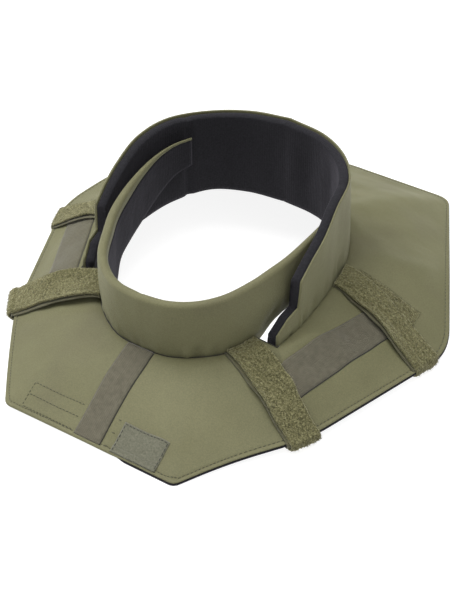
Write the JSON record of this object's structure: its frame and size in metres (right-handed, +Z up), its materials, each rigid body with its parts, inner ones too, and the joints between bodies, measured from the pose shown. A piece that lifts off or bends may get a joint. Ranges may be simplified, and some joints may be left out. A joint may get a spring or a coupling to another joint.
{
  "type": "tactical gorget",
  "caption": "Padded neck and throat guard: an open oval collar in overlapping halves on a sloping mantle, with loop tape straps folded over its edge.",
  "frame": {"origin": "under the middle of the whole object, on the surface that its outer hem rests on", "axes": "+Z up; the wearer's front towards -Y; +X towards the side that shows right of the label"},
  "size_m": [0.4146, 0.4734, 0.138],
  "materials": {
    "olive_fabric": "plain woven olive nylon, slightly sheeny",
    "dark_lining": "near-black brushed knit",
    "webbing": "ribbed grey-olive nylon webbing",
    "loop_tape": "fuzzy olive loop tape",
    "label": "woven olive label, blank"
  },
  "bodies": {
    "root": {"mantle_shell": "olive_fabric", "mantle_lining": "dark_lining", "front_collar_shell": "olive_fabric", "front_collar_lining": "dark_lining", "rear_collar_shell": "olive_fabric", "rear_collar_lining": "dark_lining", "centre_webbing": "webbing", "blank_label": "label", "right_shoulder_webbing": "webbing", "left_shoulder_webbing": "webbing", "right_front_strap": "loop_tape", "left_front_strap": "loop_tape", "right_rear_strap": "loop_tape", "left_rear_strap": "loop_tape", "right_rear_strap_base": "loop_tape"}
  },
  "joints": []
}
